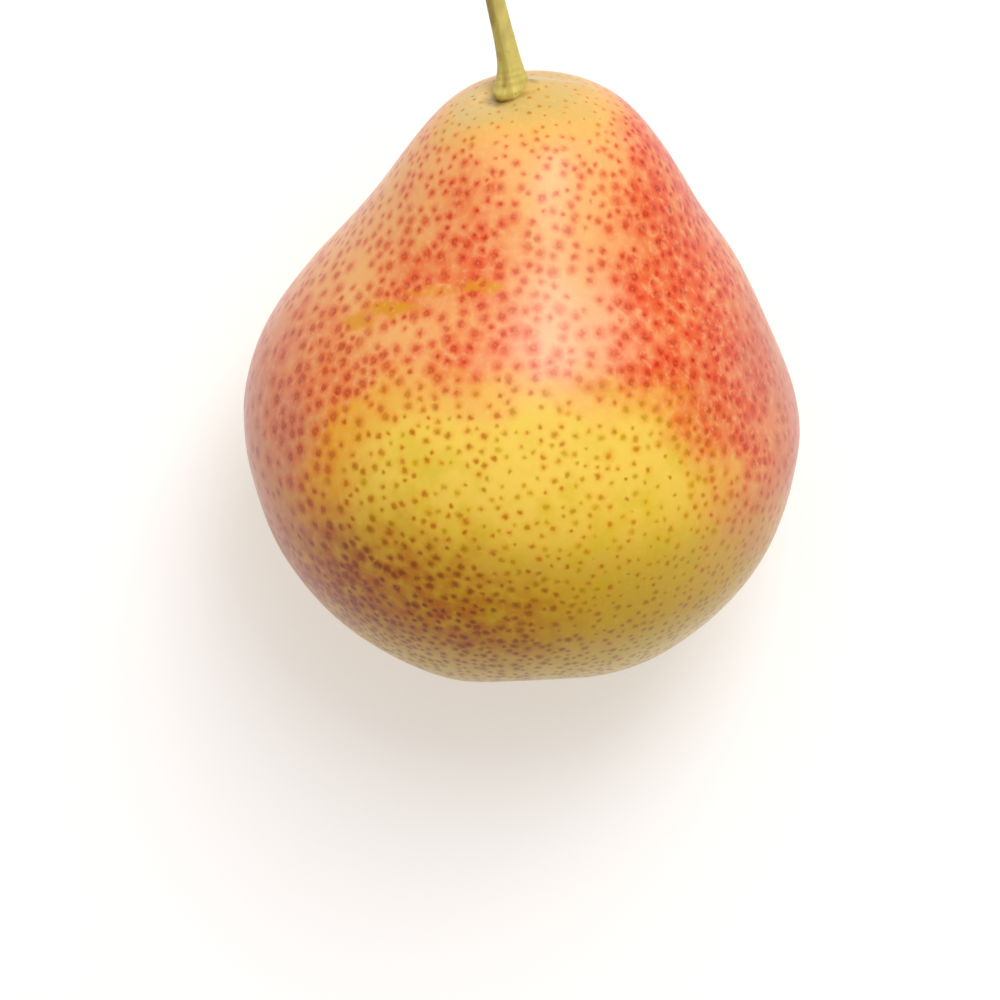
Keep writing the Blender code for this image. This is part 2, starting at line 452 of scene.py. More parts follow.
class PearStageSettings(bpy.types.PropertyGroup):
    floor: tint("Floor", "The table's colour", (0.56, 0.59, 0.64))
    key_power: FloatProperty(name="Key light", description="Its power in watts", default=4.9)
    soft_power: FloatProperty(name="Soft light", description="Its power in watts", default=1.8)
    panel_power: FloatProperty(name="Broad light", description="Its power in watts", default=5.0)
    fill: FloatProperty(name="Fill", description="The surroundings' strength", default=0.22)
    glow: FloatProperty(name="Floor glow", description="Lifts the shadows on it", default=0.5)
    lens: FloatProperty(name="Lens", description="Focal length in mm", default=181.0)


# The fruit


def turned_fruit(skin):
    """The fruit's outline, drawn and spun round its axis."""
    line = evenly(through(outline_points(), 24), skin.rings + 1)
    soft = line.copy()
    for _ in range(3):
        soft[1:-1] = (soft[:-2] + 2.0 * soft[1:-1] + soft[2:]) / 4.0
    path = [Vector((max(r, 0.0), 0.0, z)) for r, z, _ in soft]
    piece = drawn("pear_skin", path)
    only(piece)
    edit("SELECT")
    bpy.ops.mesh.spin(steps=skin.sides, angle=math.tau, center=(0, 0, 0), axis=(0, 0, 1))
    leave()
    merged_and_facing_out(piece, distance=2e-6)
    return piece


FOOT_RING = 1.8 * MM  # how far from the stem's middle the flesh meets it
FOOT_LOW, FOOT_RISE = -0.75 * MM, 2.3 * MM  # the flesh's height there at -X, and how much more at +X
FOOT_BLEND_LOW, FOOT_BLEND_HIGH = 1.5 * MM, 3.4 * MM  # how far out that fades, at -X and at +X
CROWN_RIDGE = 0.25 * MM


def shape_crown(co):
    """The flesh round the stem's foot: hollow at -X, and a lip at +X that runs on as a low ridge."""
    foot = np.array(STEM_ROOT)
    x, y = co[:, 0] - foot[0] + FOOT_SHIFT, co[:, 1] - foot[1]
    reach = np.hypot(x, y)
    side = (1.0 + np.cos(np.arctan2(y, x))) / 2.0
    height = FOOT_LOW + FOOT_RISE * side**1.8
    fade = FOOT_BLEND_LOW + (FOOT_BLEND_HIGH - FOOT_BLEND_LOW) * side
    height = height * np.exp(-((np.maximum(reach - FOOT_RING, 0.0) / fade) ** 2))
    height = height * eased(reach, 0.0, FOOT_RING)
    behind = y - 1.3 * MM - 0.05 * x
    width = np.where(behind > 0.0, 1.2, 2.6) * MM
    ridge = CROWN_RIDGE * np.exp(-((behind / width) ** 2))
    ridge = ridge * eased(x, 2.0 * MM, 5.0 * MM) * eased(x, 11.0 * MM, 6.0 * MM)
    top = co[:, 2] > foot[2] - 8.0 * MM
    co[:, 2] += np.where(top, height + ridge, 0.0)
    return co


def shape_basin(co):
    """Small folds that run out from the calyx."""
    x, y, z = co.T
    reach = np.hypot(x, y) / MM
    angle = np.arctan2(y, x)
    low = (z < -15.0 * MM) & (reach < 12.0)
    near = np.exp(-(((reach - 4.5) / 2.6) ** 2))
    folds = 0.16 * np.cos(10.0 * angle + 0.9) + 0.1 * np.cos(23.0 * angle + 2.0 * np.sin(angle))
    co[:, 2] -= np.where(low, folds * MM * near, 0.0)
    return co


def undulated(piece, skin):
    """The slight unevenness of real flesh, from soft procedural clouds."""
    for name, size, share in (("broad", 17.0, 1.0), ("fine", 6.0, 0.3)):
        texture = bpy.data.textures.new(f"pear_{name}", "CLOUDS")
        texture.noise_scale = size * MM
        texture.noise_depth = 0
        texture.intensity = 1.0
        applied(
            piece,
            "DISPLACE",
            texture=texture,
            texture_coords="LOCAL",
            strength=skin.undulation * share,
            mid_level=0.5,
        )
        bpy.data.textures.remove(texture)


def within_solid(co, node, below=True):
    """Points drawn in, where they stand out of the box that the solid fills, and below it too or not."""
    low, high = (np.array(corner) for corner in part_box(node))
    middle = (low + high) / 2.0
    for axis in range(3):
        most = (co[:, axis].max() - middle[axis]) / (high[axis] - middle[axis])
        least = (co[:, axis].min() - middle[axis]) / (low[axis] - middle[axis])
        offset = co[:, axis] - middle[axis]
        squeeze = np.where(offset > 0.0, max(most, 1.0), max(least, 1.0) if axis < 2 or below else 1.0)
        co[:, axis] = middle[axis] + offset / squeeze
    return co


def flattened(piece):
    """The small flat spot that the pear rests on."""
    only(piece)
    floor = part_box("fruit")[0].z
    edit("SELECT")
    bpy.ops.mesh.bisect(
        plane_co=(0.0, 0.0, floor),
        plane_no=(0.0, 0.0, 1.0),
        use_fill=True,
        clear_inner=True,
        threshold=1e-7,
    )
    leave()


def in_fruit_frame(co):
    """Points from the row's frame to the fruit's own, in millimetres."""
    return (co - np.array(RING_CENTRE)) @ np.array(laid_down().to_3x3()) / MM


def speckle_spacing(co, skin):
    """The mean way between lenticels at each of these points of the row's frame."""
    own = in_fruit_frame(co)
    x, y, z = own.T
    round_blush = np.maximum(eased(z, 12.0, 24.0), eased(np.abs(x), 22.0, 29.0) * eased(z, -14.0, 2.0))
    wide = skin.yellow_spacing + (skin.red_spacing - skin.yellow_spacing) * round_blush
    wide = wide + LEFT_EXTRA * eased(x, -19.0, -26.0) * eased(z, -14.0, 0.0) * eased(z, 24.0, 14.0)
    wide = wide + (skin.calyx_spacing - wide) * eased(z, -2.0, -18.0)
    return wide + (skin.yellow_spacing * 0.9 - wide) * eased(z, 32.0, 42.0)


SPECKLE_SEED = 11
LEFT_EXTRA = 0.8 * MM  # speckles are farther apart by this on the left flank
NEAREST = 0.60  # two speckles are at least this share of the mean spacing apart


def scattered(piece, skin):
    """Lenticels spread over the skin, no two of them too near, by seeded dart throwing.

    The mesh that Blender makes isn't quite the same in each run, so the places aren't either.
    """
    mesh = piece.data
    mesh.calc_loop_triangles()
    corners = np.empty(len(mesh.loop_triangles) * 3, np.int32)
    mesh.loop_triangles.foreach_get("vertices", corners)
    co = points_of(piece)
    a, b, c = (co[corners.reshape(-1, 3)[:, i]] for i in range(3))
    area = np.linalg.norm(np.cross(b - a, c - a), axis=1) / 2
    spacing = speckle_spacing((a + b + c) / 3, skin)
    weight = area / (0.93 * spacing**2)
    wanted = int(weight.sum())
    draw = np.random.default_rng(SPECKLE_SEED)
    tries = 8 * wanted
    chosen = draw.choice(len(area), size=tries, p=weight / weight.sum())
    s, t = draw.random((2, tries))
    over = s + t > 1.0
    s[over], t[over] = 1.0 - s[over], 1.0 - t[over]
    spots = a[chosen] + (b - a)[chosen] * s[:, None] + (c - a)[chosen] * t[:, None]
    clear = NEAREST * spacing[chosen]
    cell = NEAREST * skin.red_spacing
    kept, grid = [], {}
    for spot, room in zip(spots.tolist(), clear.tolist()):
        key = tuple(int(v // cell) for v in spot)
        near = (
            other
            for i in (-1, 0, 1)
            for j in (-1, 0, 1)
            for k in (-1, 0, 1)
            for other in grid.get((key[0] + i, key[1] + j, key[2] + k), ())
        )
        if all(math.dist(spot, other) > room for other in near):
            kept.append(spot)
            grid.setdefault(key, []).append(spot)
            if len(kept) == wanted:
                break
    return kept


def note_speckles(piece, spots):
    """Each face holds the places of the three lenticels nearest to it."""
    tree = KDTree(len(spots))
    for number, spot in enumerate(spots):
        tree.insert(spot, number)
    tree.balance()
    mesh = piece.data
    centres = np.empty(len(mesh.polygons) * 3)
    mesh.polygons.foreach_get("center", centres)
    found = np.array([[hit[0][:] for hit in tree.find_n(c, 3)] for c in centres.reshape(-1, 3)])
    for rank in range(3):
        layer = mesh.attributes.new(f"speckle_{rank + 1}", "FLOAT_VECTOR", "FACE")
        layer.data.foreach_set("vector", np.ascontiguousarray(found[:, rank] / MM).ravel())


def nearest_speckle(g):
    """The way to the nearest lenticel, and its place."""
    first, second, third = (g.attribute(f"speckle_{i}") for i in (1, 2, 3))
    to_first, to_second, to_third = (g.vector("DISTANCE", g.place, c) for c in (first, second, third))
    nearer = g.math("MINIMUM", to_first, to_second)
    place = g.choose(g.math("LESS_THAN", to_second, to_first), first, second)
    place = g.choose(g.math("LESS_THAN", to_third, nearer), place, third)
    return g.math("MINIMUM", nearer, to_third), place


# Where the blush is deep, as (middle, radii, depth) in millimetres of the row's frame
DEEP_BLUSH = [
    ((-6.0, 2.0, 60.0), (9.0, 9.0, 12.0), 0.42),
    ((-3.0, -7.0, 62.0), (9.0, 4.5, 9.0), 0.35),
    ((21.0, -6.0, 54.0), (10.5, 15.0, 15.0), 1.0),
    ((17.5, 14.0, 47.0), (7.0, 16.0, 14.0), 0.95),
    ((-26.0, -12.0, 46.0), (6.0, 10.0, 14.0), 0.3),
    ((0.0, 8.0, 12.0), (30.0, 17.0, 12.0), 0.35),
]
# Where it is thin. The first two lie along the neck under the key light's glare, and are partly a painted
# highlight.
THIN_BLUSH_AND_HIGHLIGHT = [
    ((4.0, 14.0, 61.0), (6.5, 9.5, 9.0), 0.75),
    ((3.8, 2.5, 63.0), (5.0, 7.5, 9.0), 0.4),
    ((-19.0, 6.0, 48.0), (6.0, 9.0, 12.0), 0.45),
    ((-12.0, -5.5, 60.0), (7.0, 2.2, 6.0), 0.4),
    ((-14.0, 10.0, 53.0), (7.0, 8.0, 9.0), 0.3),
]
# Pinker skin under the key light's glare on the belly, partly a painted highlight
PINK_SKIN_AND_HIGHLIGHT = [((4.8, -5.5, 62.0), (7.0, 6.5, 9.0), 0.85)]
ORANGE_EDGE = [((-24.0, -20.0, 50.0), (9.0, 22.0, 20.0), 1.0)]
# Dull purplish flanks along the limbs, partly a painted pale reflection there, which also dulls the
# speckles
MAUVE_FLANKS_AND_VEIL = [
    ((-36.0, -6.0, 2.0), (8.0, 20.0, 22.0), 0.9),
    ((36.0, -6.0, 12.0), (8.5, 22.0, 24.0), 0.9),
]
# Painted shade, brown, in the crease and hollow round the stem's foot
FOOT_PAINTED_SHADE = [
    ((-2.9, -2.0, 44.0), (1.7, 1.5, 1.6), 0.95),
    ((-0.9, -2.9, 44.4), (2.2, 0.6, 1.3), 0.7),
    ((1.0, -0.9, 45.6), (0.6, 0.7, 1.0), 0.9),
]
CORKY_SCUFFS = [
    ((-15.2, -3.2, 57.5), (3.2, 1.0, 5.0), 0.9),
    ((-18.9, -4.7, 55.5), (1.8, 0.9, 4.0), 0.8),
    ((-5.0, -0.9, 61.5), (2.6, 0.75, 4.0), 0.75),
    ((-10.0, -1.4, 60.0), (4.5, 0.5, 4.0), 0.45),
    ((9.2, -12.6, 62.0), (3.2, 0.9, 4.0), 0.4),
    ((18.6, -13.2, 58.0), (1.6, 1.0, 4.0), 0.25),
]


# The yellow window, in millimetres of the row's frame: its middle and half its width and height
WINDOW_MIDDLE = (0.6, -34.0)
WINDOW_HALF = (26.4, 23.6)


def blush_mask(g, own):
    """How red the skin is, how tan its lower left is, and how yellow its crown.

    Own is the place in the fruit's frame, and g.place the one in the row's.
    """
    wander = g.moved(g.noise_vector(8.0, 3.6), g.noise_vector(2.0, 2.1))
    plan = g.moved(g.place, wander)
    near = g.moved(own, wander)
    x, y, z = g.parts(plan)
    *_, own_z = g.parts(near)

    # The yellow window that a leaf kept from the sun: nearly square, with its upper right corner cut off
    sides = []
    for value, middle, half in zip((x, y), WINDOW_MIDDLE, WINDOW_HALF):
        way = g.math("DIVIDE", g.math("SUBTRACT", value, middle), half)
        sides.append(g.math("POWER", g.math("ABSOLUTE", way), 4.0))
    window = g.step(g.math("POWER", g.plus(*sides), 0.25), 1.09, 0.66)
    slant = g.plus(g.times(x, 0.83), g.times(y, 0.56))
    window = g.times(window, g.step(slant, 14.0, 2.0))

    # Seen from above it is red elsewhere, but for the calyx end and the crown
    seen = g.without(window)
    lower_right = g.blob(plan, (24.0, -47.0, 30.0), (27.0, 20.0, 40.0), 0.3)
    lower_left = g.blob(plan, (-22.0, -44.0, 36.0), (27.0, 20.0, 40.0), 0.3)
    seen = g.times(seen, g.without(lower_right), g.without(g.times(lower_left, 0.65)))
    below = g.times(g.step(own_z, 2.0, 34.0), 0.75)
    facing = g.step(g.plus(z, g.times(own_z, 0.15)), 17.0, 34.0)
    mask = g.between(facing, below, seen)
    crown = g.blob(near, (-1.2, -0.5, 46.5), (12.0, 10.0, 6.5), 0.52)
    mask = g.times(mask, g.without(g.times(crown, 0.9)))
    calyx_end = g.step(own_z, -17.0, -25.0)
    return g.times(mask, g.without(calyx_end)), lower_left, crown


def gathered(g, where, places, soft=0.75):
    """The strongest of these soft blobs at each place."""
    total = 0.0
    for middle, radii, share in places:
        total = g.math("MAXIMUM", total, g.times(g.blob(where, middle, radii, soft), share))
    return total


def dot(g, distance, reach, sharpness=2.0):
    """1 at a speckle's middle, falling smoothly to nothing past its reach."""
    ratio = g.math("POWER", g.math("DIVIDE", distance, reach), sharpness)
    return g.math("EXPONENT", g.times(ratio, -1.0))


# Smaller colours of the skin
# The calyx end's paler ground is partly a painted reflection along the lower limb
PALE_END_AND_VEIL = (0.86, 0.62, 0.13)  # the ground round the calyx
CROWN_RIGHT = (0.63, 0.44, 0.13)
CROWN_LEFT = (0.67, 0.50, 0.19)
# Pale pink of the skin under the glare, partly a painted highlight
PINK_AND_HIGHLIGHT_COLOUR = (0.90, 0.41, 0.27)
BLUSH_EDGE = (0.86, 0.40, 0.03)  # where the blush thins out to yellow
# Pale blotches and streaks on the flanks, partly a painted reflection
FLANK_PALE_VEIL = (0.78, 0.26, 0.16)
FLANK_RIGHT = (0.66, 0.135, 0.09)
WARM_HALO = (0.86, 0.30, 0.006)  # round a speckle in the yellow
GOLDEN_HALO = (0.82, 0.44, 0.01)
LOW_HALO = (0.50, 0.09, 0.003)  # low on the left
EDGE_HALO = (0.80, 0.14, 0.01)
FLANK_HALO = (0.56, 0.075, 0.04)
NET = (0.90, 0.47, 0.19)
OLIVE_SPECKLE = (0.58, 0.35, 0.004)
CALYX_SPECKLE = (0.38, 0.165, 0.002)
LOW_SPECKLE = (0.29, 0.048, 0.002)
FLANK_SPECKLE = (0.42, 0.04, 0.02)
YELLOW_PORE = (0.80, 0.50, 0.03)
YELLOW_MOTTLE = (0.92, 0.68, 0.10)
RED_MOTTLE = (0.92, 0.62, 0.30)
BASIN_BROWN = (0.30, 0.17, 0.05)
# Colour of the painted shade round the stem's foot
FOOT_SHADE_BROWN = (0.27, 0.17, 0.03)


def skin_material(skin):
    g = Graph("pear_skin")
    centre = tuple(RING_CENTRE / MM)
    own = g.turned(g.place, centre, AXIS_RISE - math.pi / 2)
    own_x, _, own_z = g.parts(own)
    red, lower_left, crown = blush_mask(g, own)
    nearest, spot = nearest_speckle(g)
    chance = g.random(spot)
    hue_chance = g.random(g.vector("SCALE", spot, scale=3.7))
    fleck = g.math("SUBTRACT", g.noise(0.45, 2.0, where=own, stretch=(1.0, 1.0, 0.8)), 0.5)
    ragged = g.math("MAXIMUM", g.plus(nearest, g.times(fleck, 0.6)), 0.0)
    spread = g.math("SUBTRACT", g.noise(1.5, 2.0, where=own, stretch=(1.0, 1.0, 0.6)), 0.5)
    smeared = g.math("MAXIMUM", g.plus(ragged, g.times(spread, 0.9)), 0.0)

    # How deep the blush is from place to place, and where it goes dull and purplish on the flanks, which
    # is partly a painted pale reflection along the limbs
    drift = g.moved(g.place, g.noise_vector(7.0, 3.0))
    depth = g.math("SUBTRACT", gathered(g, drift, DEEP_BLUSH), gathered(g, drift, THIN_BLUSH_AND_HIGHLIGHT))
    patch = g.step(g.noise(6.0, 3.0), 0.32, 0.70)
    depth = g.plus(g.plus(0.2, depth), g.times(patch, 0.28), clamp=True)
    wash = g.noise(1.0, 3.0, where=own, stretch=(1.0, 1.0, 0.16))
    blotch = g.step(g.noise(2.4, 3.0), 0.3, 0.7)
    flank_place = g.moved(own, g.moved(g.noise_vector(11.0, 9.0), g.noise_vector(2.5, 2.2)))
    mauve_and_veil = gathered(g, flank_place, MAUVE_FLANKS_AND_VEIL, 0.7)

    # The ground under the speckles
    # The ground darkens to a deeper yellow towards the calyx end: riper skin, and partly painted shade
    ground = g.mix(g.step(own_z, 12.0, -12.0), skin.yellow, skin.gold_and_shade)
    # Painted reflection, partly paler skin: the calyx end goes pale, and its halos fade
    pale_end_and_veil = g.step(g.plus(own_z, g.times(g.noise(5.0), 4.0)), -8.0, -17.0)
    ground = g.mix(g.times(pale_end_and_veil, 0.8), ground, PALE_END_AND_VEIL)
    lower_left = g.times(lower_left, g.between(pale_end_and_veil, 1.0, 0.3))
    green = g.times(g.step(g.noise(4.5, 3.0), 0.44, 0.68), g.step(own_z, 20.0, 8.0))
    ground = g.mix(g.times(green, 0.5), ground, skin.green)
    crown_colour = g.mix(g.step(own_x, 2.0, -8.0), CROWN_RIGHT, CROWN_LEFT)
    ground = g.mix(crown, ground, crown_colour)
    blushed = g.mix(g.times(depth, g.between(blotch, 0.38, 0.95)), skin.blush, skin.halo)
    share = g.between(depth, g.between(wash, 0.55, 0.92), g.between(wash, 0.82, 1.0))
    # Painted highlight, partly pinker skin: the ground goes pale pink under the key light's glare, and
    # the halos and cores there fade
    pink_and_highlight = gathered(g, drift, PINK_SKIN_AND_HIGHLIGHT)
    blushed = g.mix(pink_and_highlight, blushed, PINK_AND_HIGHLIGHT_COLOUR)
    ground = g.mix(g.times(red, share), ground, blushed)
    partly = g.times(g.step(red, 0.02, 0.4), g.step(red, 1.02, 0.7))
    edge = gathered(g, drift, ORANGE_EDGE)
    partly = g.times(partly, g.between(edge, 0.12, 0.9))
    ground = g.mix(partly, ground, BLUSH_EDGE)
    ground = g.mix(g.times(lower_left, g.between(blotch, 0.3, 0.9)), ground, skin.tan)
    # The flanks along the limbs: dull purplish red with paler blotches and streaks, partly a painted
    # reflection of the pale surroundings
    on_right = g.step(own_x, -5.0, 5.0)
    streaks = g.noise(1.9, 3.0, where=own, stretch=(1.0, 1.0, 0.2))
    uneven = g.between(on_right, blotch, g.step(streaks, 0.42, 0.60))
    flank = g.mix(uneven, skin.mauve_and_veil, FLANK_PALE_VEIL)
    flank = g.mix(g.times(on_right, 0.6), flank, FLANK_RIGHT)
    ground = g.mix(g.times(mauve_and_veil, 0.85), ground, flank)

    # Halos, which run together where the blush is deep, with bits of a paler net between them
    size = g.times(g.between(chance, 0.62, 1.35), g.between(g.step(own_z, 31.0, 43.0), 1.0, 0.62))
    size = g.times(size, g.between(edge, 1.0, 1.3))
    reach = g.between(red, g.between(lower_left, 0.48, 0.62), g.between(depth, 0.68, 0.98))
    halo = dot(g, smeared, g.times(size, reach), 2.4)
    warm = g.mix(hue_chance, WARM_HALO, GOLDEN_HALO)
    warm = g.mix(lower_left, warm, LOW_HALO)
    halo_colour = g.mix(red, warm, skin.halo)
    halo_colour = g.mix(g.times(edge, red, 0.75), halo_colour, EDGE_HALO)
    halo_colour = g.mix(mauve_and_veil, halo_colour, FLANK_HALO)
    plain_share = g.between(lower_left, g.between(pale_end_and_veil, 0.5, 0.35), 0.68)
    halo_share = g.between(red, plain_share, g.between(depth, 0.55, 0.95))
    halo_share = g.between(mauve_and_veil, halo_share, g.between(on_right, 0.6, 0.4))
    halo_share = g.times(halo_share, g.between(pink_and_highlight, 1.0, 0.65), g.between(crown, 1.0, 0.3))
    colour = g.mix(g.times(halo, halo_share), ground, halo_colour)
    net = 0.0
    for wide, stretch in ((3.0, (1.0, 1.0, 0.45)), (2.0, (1.0, 1.0, 0.6))):
        contour = g.math("ABSOLUTE", g.math("SUBTRACT", g.noise(wide, 2.0, own, stretch=stretch), 0.5))
        net = g.math("MAXIMUM", net, g.step(contour, 0.05, 0.0))
    broken = g.step(g.noise(1.4, 2.0), 0.46, 0.64)
    net = g.times(net, red, g.between(depth, 0.08, 0.38), broken)
    colour = g.mix(net, colour, NET)

    # The speckles themselves: a dark ring round a pale pore
    core_size = g.between(red, g.between(g.step(own_z, 4.0, -14.0), 0.27, 0.34), 0.36)
    core_size = g.between(lower_left, core_size, 0.43)
    core = dot(g, ragged, g.times(size, core_size), 3.0)
    olive = g.step(g.plus(hue_chance, g.times(own_x, 0.015)), 0.15, 0.75)
    brown = g.mix(olive, skin.speckle, OLIVE_SPECKLE)
    brown = g.mix(g.times(g.step(own_z, 4.0, -12.0), 0.7), brown, CALYX_SPECKLE)
    brown = g.mix(lower_left, brown, LOW_SPECKLE)
    core_colour = g.mix(red, brown, skin.deep)
    core_colour = g.mix(mauve_and_veil, core_colour, FLANK_SPECKLE)
    bold = g.math("FRACT", g.times(hue_chance, 7.0))
    core_share = g.between(bold, g.between(red, 0.8, 0.5), g.between(red, 1.0, 0.88))
    thin = g.times(red, g.without(g.math("MAXIMUM", depth, edge)))
    # The right side's speckles are fainter under that painted reflection
    faint = g.times(mauve_and_veil, on_right)
    weaker = (g.between(thin, 1.0, 0.55), g.between(pink_and_highlight, 1.0, 0.5), g.between(faint, 1.0, 0.5))
    core_share = g.times(core_share, *weaker)
    colour = g.mix(g.times(core, core_share), colour, core_colour)
    pore = dot(g, nearest, g.times(size, 0.10), 2.0)
    pore = g.times(pore, g.times(g.step(size, 0.8, 1.15), g.between(red, 0.0, 0.32)))
    colour = g.mix(pore, colour, g.mix(red, YELLOW_PORE, skin.pore))

    # Corky scuffs
    torn = g.moved(g.place, g.noise_vector(1.6, 1.1))
    scuff = g.times(gathered(g, torn, CORKY_SCUFFS, 0.5), g.between(core, 1.0, 0.2))
    colour = g.mix(scuff, colour, skin.russet)

    # Fine mottling, and the brown freckling deep in the basin
    mottle = g.step(g.noise(0.7, 3.0), 0.48, 0.75)
    colour = g.mix(g.times(mottle, 0.16), colour, g.mix(red, YELLOW_MOTTLE, RED_MOTTLE))
    hollow = g.blob(own, (0.0, 0.0, -22.5), (8.5, 8.5, 5.0), 0.45)
    hollow = g.times(hollow, g.between(g.noise(0.9, 4.0), 0.2, 1.0))
    colour = g.mix(g.times(hollow, 0.7), colour, BASIN_BROWN)

    # Painted shade round the stem's foot
    foot = g.moved(own, g.noise_vector(0.8, 0.5))
    foot = g.times(gathered(g, foot, FOOT_PAINTED_SHADE, 0.5), g.between(g.noise(0.6, 3.0), 0.5, 1.0))
    colour = g.mix(foot, colour, FOOT_SHADE_BROWN)

    # The skin's relief: each lenticel a faint bump in a fine peel
    relief = g.times(dot(g, nearest, 0.35), 0.4)
    relief = g.plus(relief, g.times(g.noise(0.9, 3.0), 0.6))
    normal = g.bump(relief, 0.05 * MM, 0.5)
    g.set(
        Base_Color=colour,
        Roughness=g.between(g.noise(3.0, 2.0), 0.27, 0.36),
        Specular_IOR_Level=0.5,
        IOR=1.35,
        Sheen_Weight=0.15,
        Sheen_Roughness=0.28,
        Sheen_Tint=(1.0, 0.93, 0.88),
        Subsurface_Weight=0.05,
        Subsurface_Radius=(0.9, 0.45, 0.18),
        Subsurface_Scale=1.0 * MM,
        Normal=normal,
    )
    return g.material


class PEAR_OT_fruit(bpy.types.Operator):
    """Turn, shape and colour the fruit, with its speckles"""

    bl_idname = "pear.fruit"
    bl_label = "Fruit"

    def execute(self, context):
        skin = context.scene.pear_skin
        piece = turned_fruit(skin)
        heights, asides = middle_line()
        co = grown(shape_basin(points_of(piece)), heights, asides)
        move_points(piece, to_row(shape_crown(co)))
        undulated(piece, skin)
        move_points(piece, within_solid(points_of(piece), "fruit", below=False))
        flattened(piece)
        only(piece)
        bpy.ops.object.shade_smooth_by_angle(angle=math.radians(50.0))
        note_speckles(piece, scattered(piece, skin))
        piece.data.materials.append(skin_material(skin))
        place_piece(piece, "fruit")
        return {"FINISHED"}


# The stem


def stem_frame():
    """From the stem's own frame to the row's."""
    own = Matrix.Translation(STEM_ROOT) @ Matrix.Rotation(STEM_TILT, 4, "Y")
    return Matrix.Translation(RING_CENTRE) @ laid_down() @ own


def stem_relief(along, angle):
    """How much fatter the stem is here than its plain round section, in millimetres."""
    ribs = 0.045 * np.cos(5.0 * angle + 0.09 * along) + 0.03 * np.cos(3.0 * angle - 0.13 * along + 1.0)
    base = eased(along, 5.0, 2.0)
    sway = 1.5 * np.sin(angle + 0.7) + 0.8 * np.sin(2.0 * angle) + 0.7 * np.sin(2.3 * along)
    wrinkles = 0.035 * np.cos(math.tau * along / 0.85 + sway) * base
    flare = 0.32 * eased(along, 4.5, 1.7) * np.maximum(0.0, np.cos(angle)) ** 2
    collar = 0.42 * np.exp(-(((along - 0.45) / 0.8) ** 2)) * (0.5 + 0.5 * np.cos(angle + 2.5))
    knots = 0.16 * np.exp(-(((along - 13.0) / 0.7) ** 2)) * np.maximum(0.0, np.cos(angle - 2.6)) ** 4
    scar = (0.06 * np.cos(2.0 * angle) + 0.04 * np.cos(5.0 * angle + 0.8)) * eased(along, 24.0, 26.5)
    return ribs + wrinkles + flare + collar + knots + scar


class PEAR_OT_stem(bpy.types.Operator):
    """Extrude the stem ring by ring, with its ribs, wrinkles and cut end"""

    bl_idname = "pear.stem"
    bl_label = "Stem"

    def execute(self, context):
        settings = context.scene.pear_stem
        stations = evenly(through(STEM_STATIONS_MM, 12), settings.rings)
        start_fresh()
        bpy.ops.mesh.primitive_cylinder_add(
            vertices=settings.sides, radius=1.0, depth=1.0, end_fill_type="NGON"
        )
        piece = context.object
        piece.name = piece.data.name = "pear_stem"
        edit("DESELECT")
        leave()
        for face in piece.data.polygons:
            face.select = face.normal.z > 0.9
        edit()
        bpy.ops.mesh.delete(type="ONLY_FACE")
        bpy.ops.mesh.select_all(action="DESELECT")
        leave()
        for vertex in piece.data.vertices:
            vertex.select = vertex.co.z > 0.0
        edit()
        bpy.ops.mesh.select_mode(type="EDGE")
        for _ in range(len(stations) - 2):
            bpy.ops.mesh.extrude_region_move(TRANSFORM_OT_translate={"value": (0.0, 0.0, 1.0)})
        bpy.ops.mesh.edge_face_add()
        for inset, depth in ((0.12, 0.12), (0.25, -0.22), (0.3, -0.1)):
            bpy.ops.mesh.inset(thickness=inset, depth=depth)
        leave()

        co = points_of(piece)
        level = co[:, 2] + 0.5
        ring = np.clip(np.rint(level), 0, len(stations) - 1)
        along, bend, radius = (np.interp(ring, range(len(stations)), stations[:, i]) for i in range(3))
        angle = np.arctan2(co[:, 1], co[:, 0])
        spread = np.hypot(co[:, 0], co[:, 1])
        fat = radius + stem_relief(along, angle)
        bend = bend - FOOT_SHIFT / MM * eased(along, 4.5, 0.8)
        past = np.maximum(level - (len(stations) - 1), -0.4) * (level > len(stations) - 1.5)
        own = np.stack(
            [fat * spread * np.cos(angle) + bend, fat * spread * np.sin(angle), along + past], axis=1
        )
        turn = np.array(stem_frame().to_3x3())
        co = own * MM @ turn.T + np.array(stem_frame().translation)
        move_points(piece, within_solid(co, "stem"))
        merged_and_facing_out(piece)
        only(piece)
        bpy.ops.object.shade_smooth_by_angle(angle=math.radians(55.0))
        piece.data.materials.append(stem_material(settings))
        place_piece(piece, "stem")
        return {"FINISHED"}


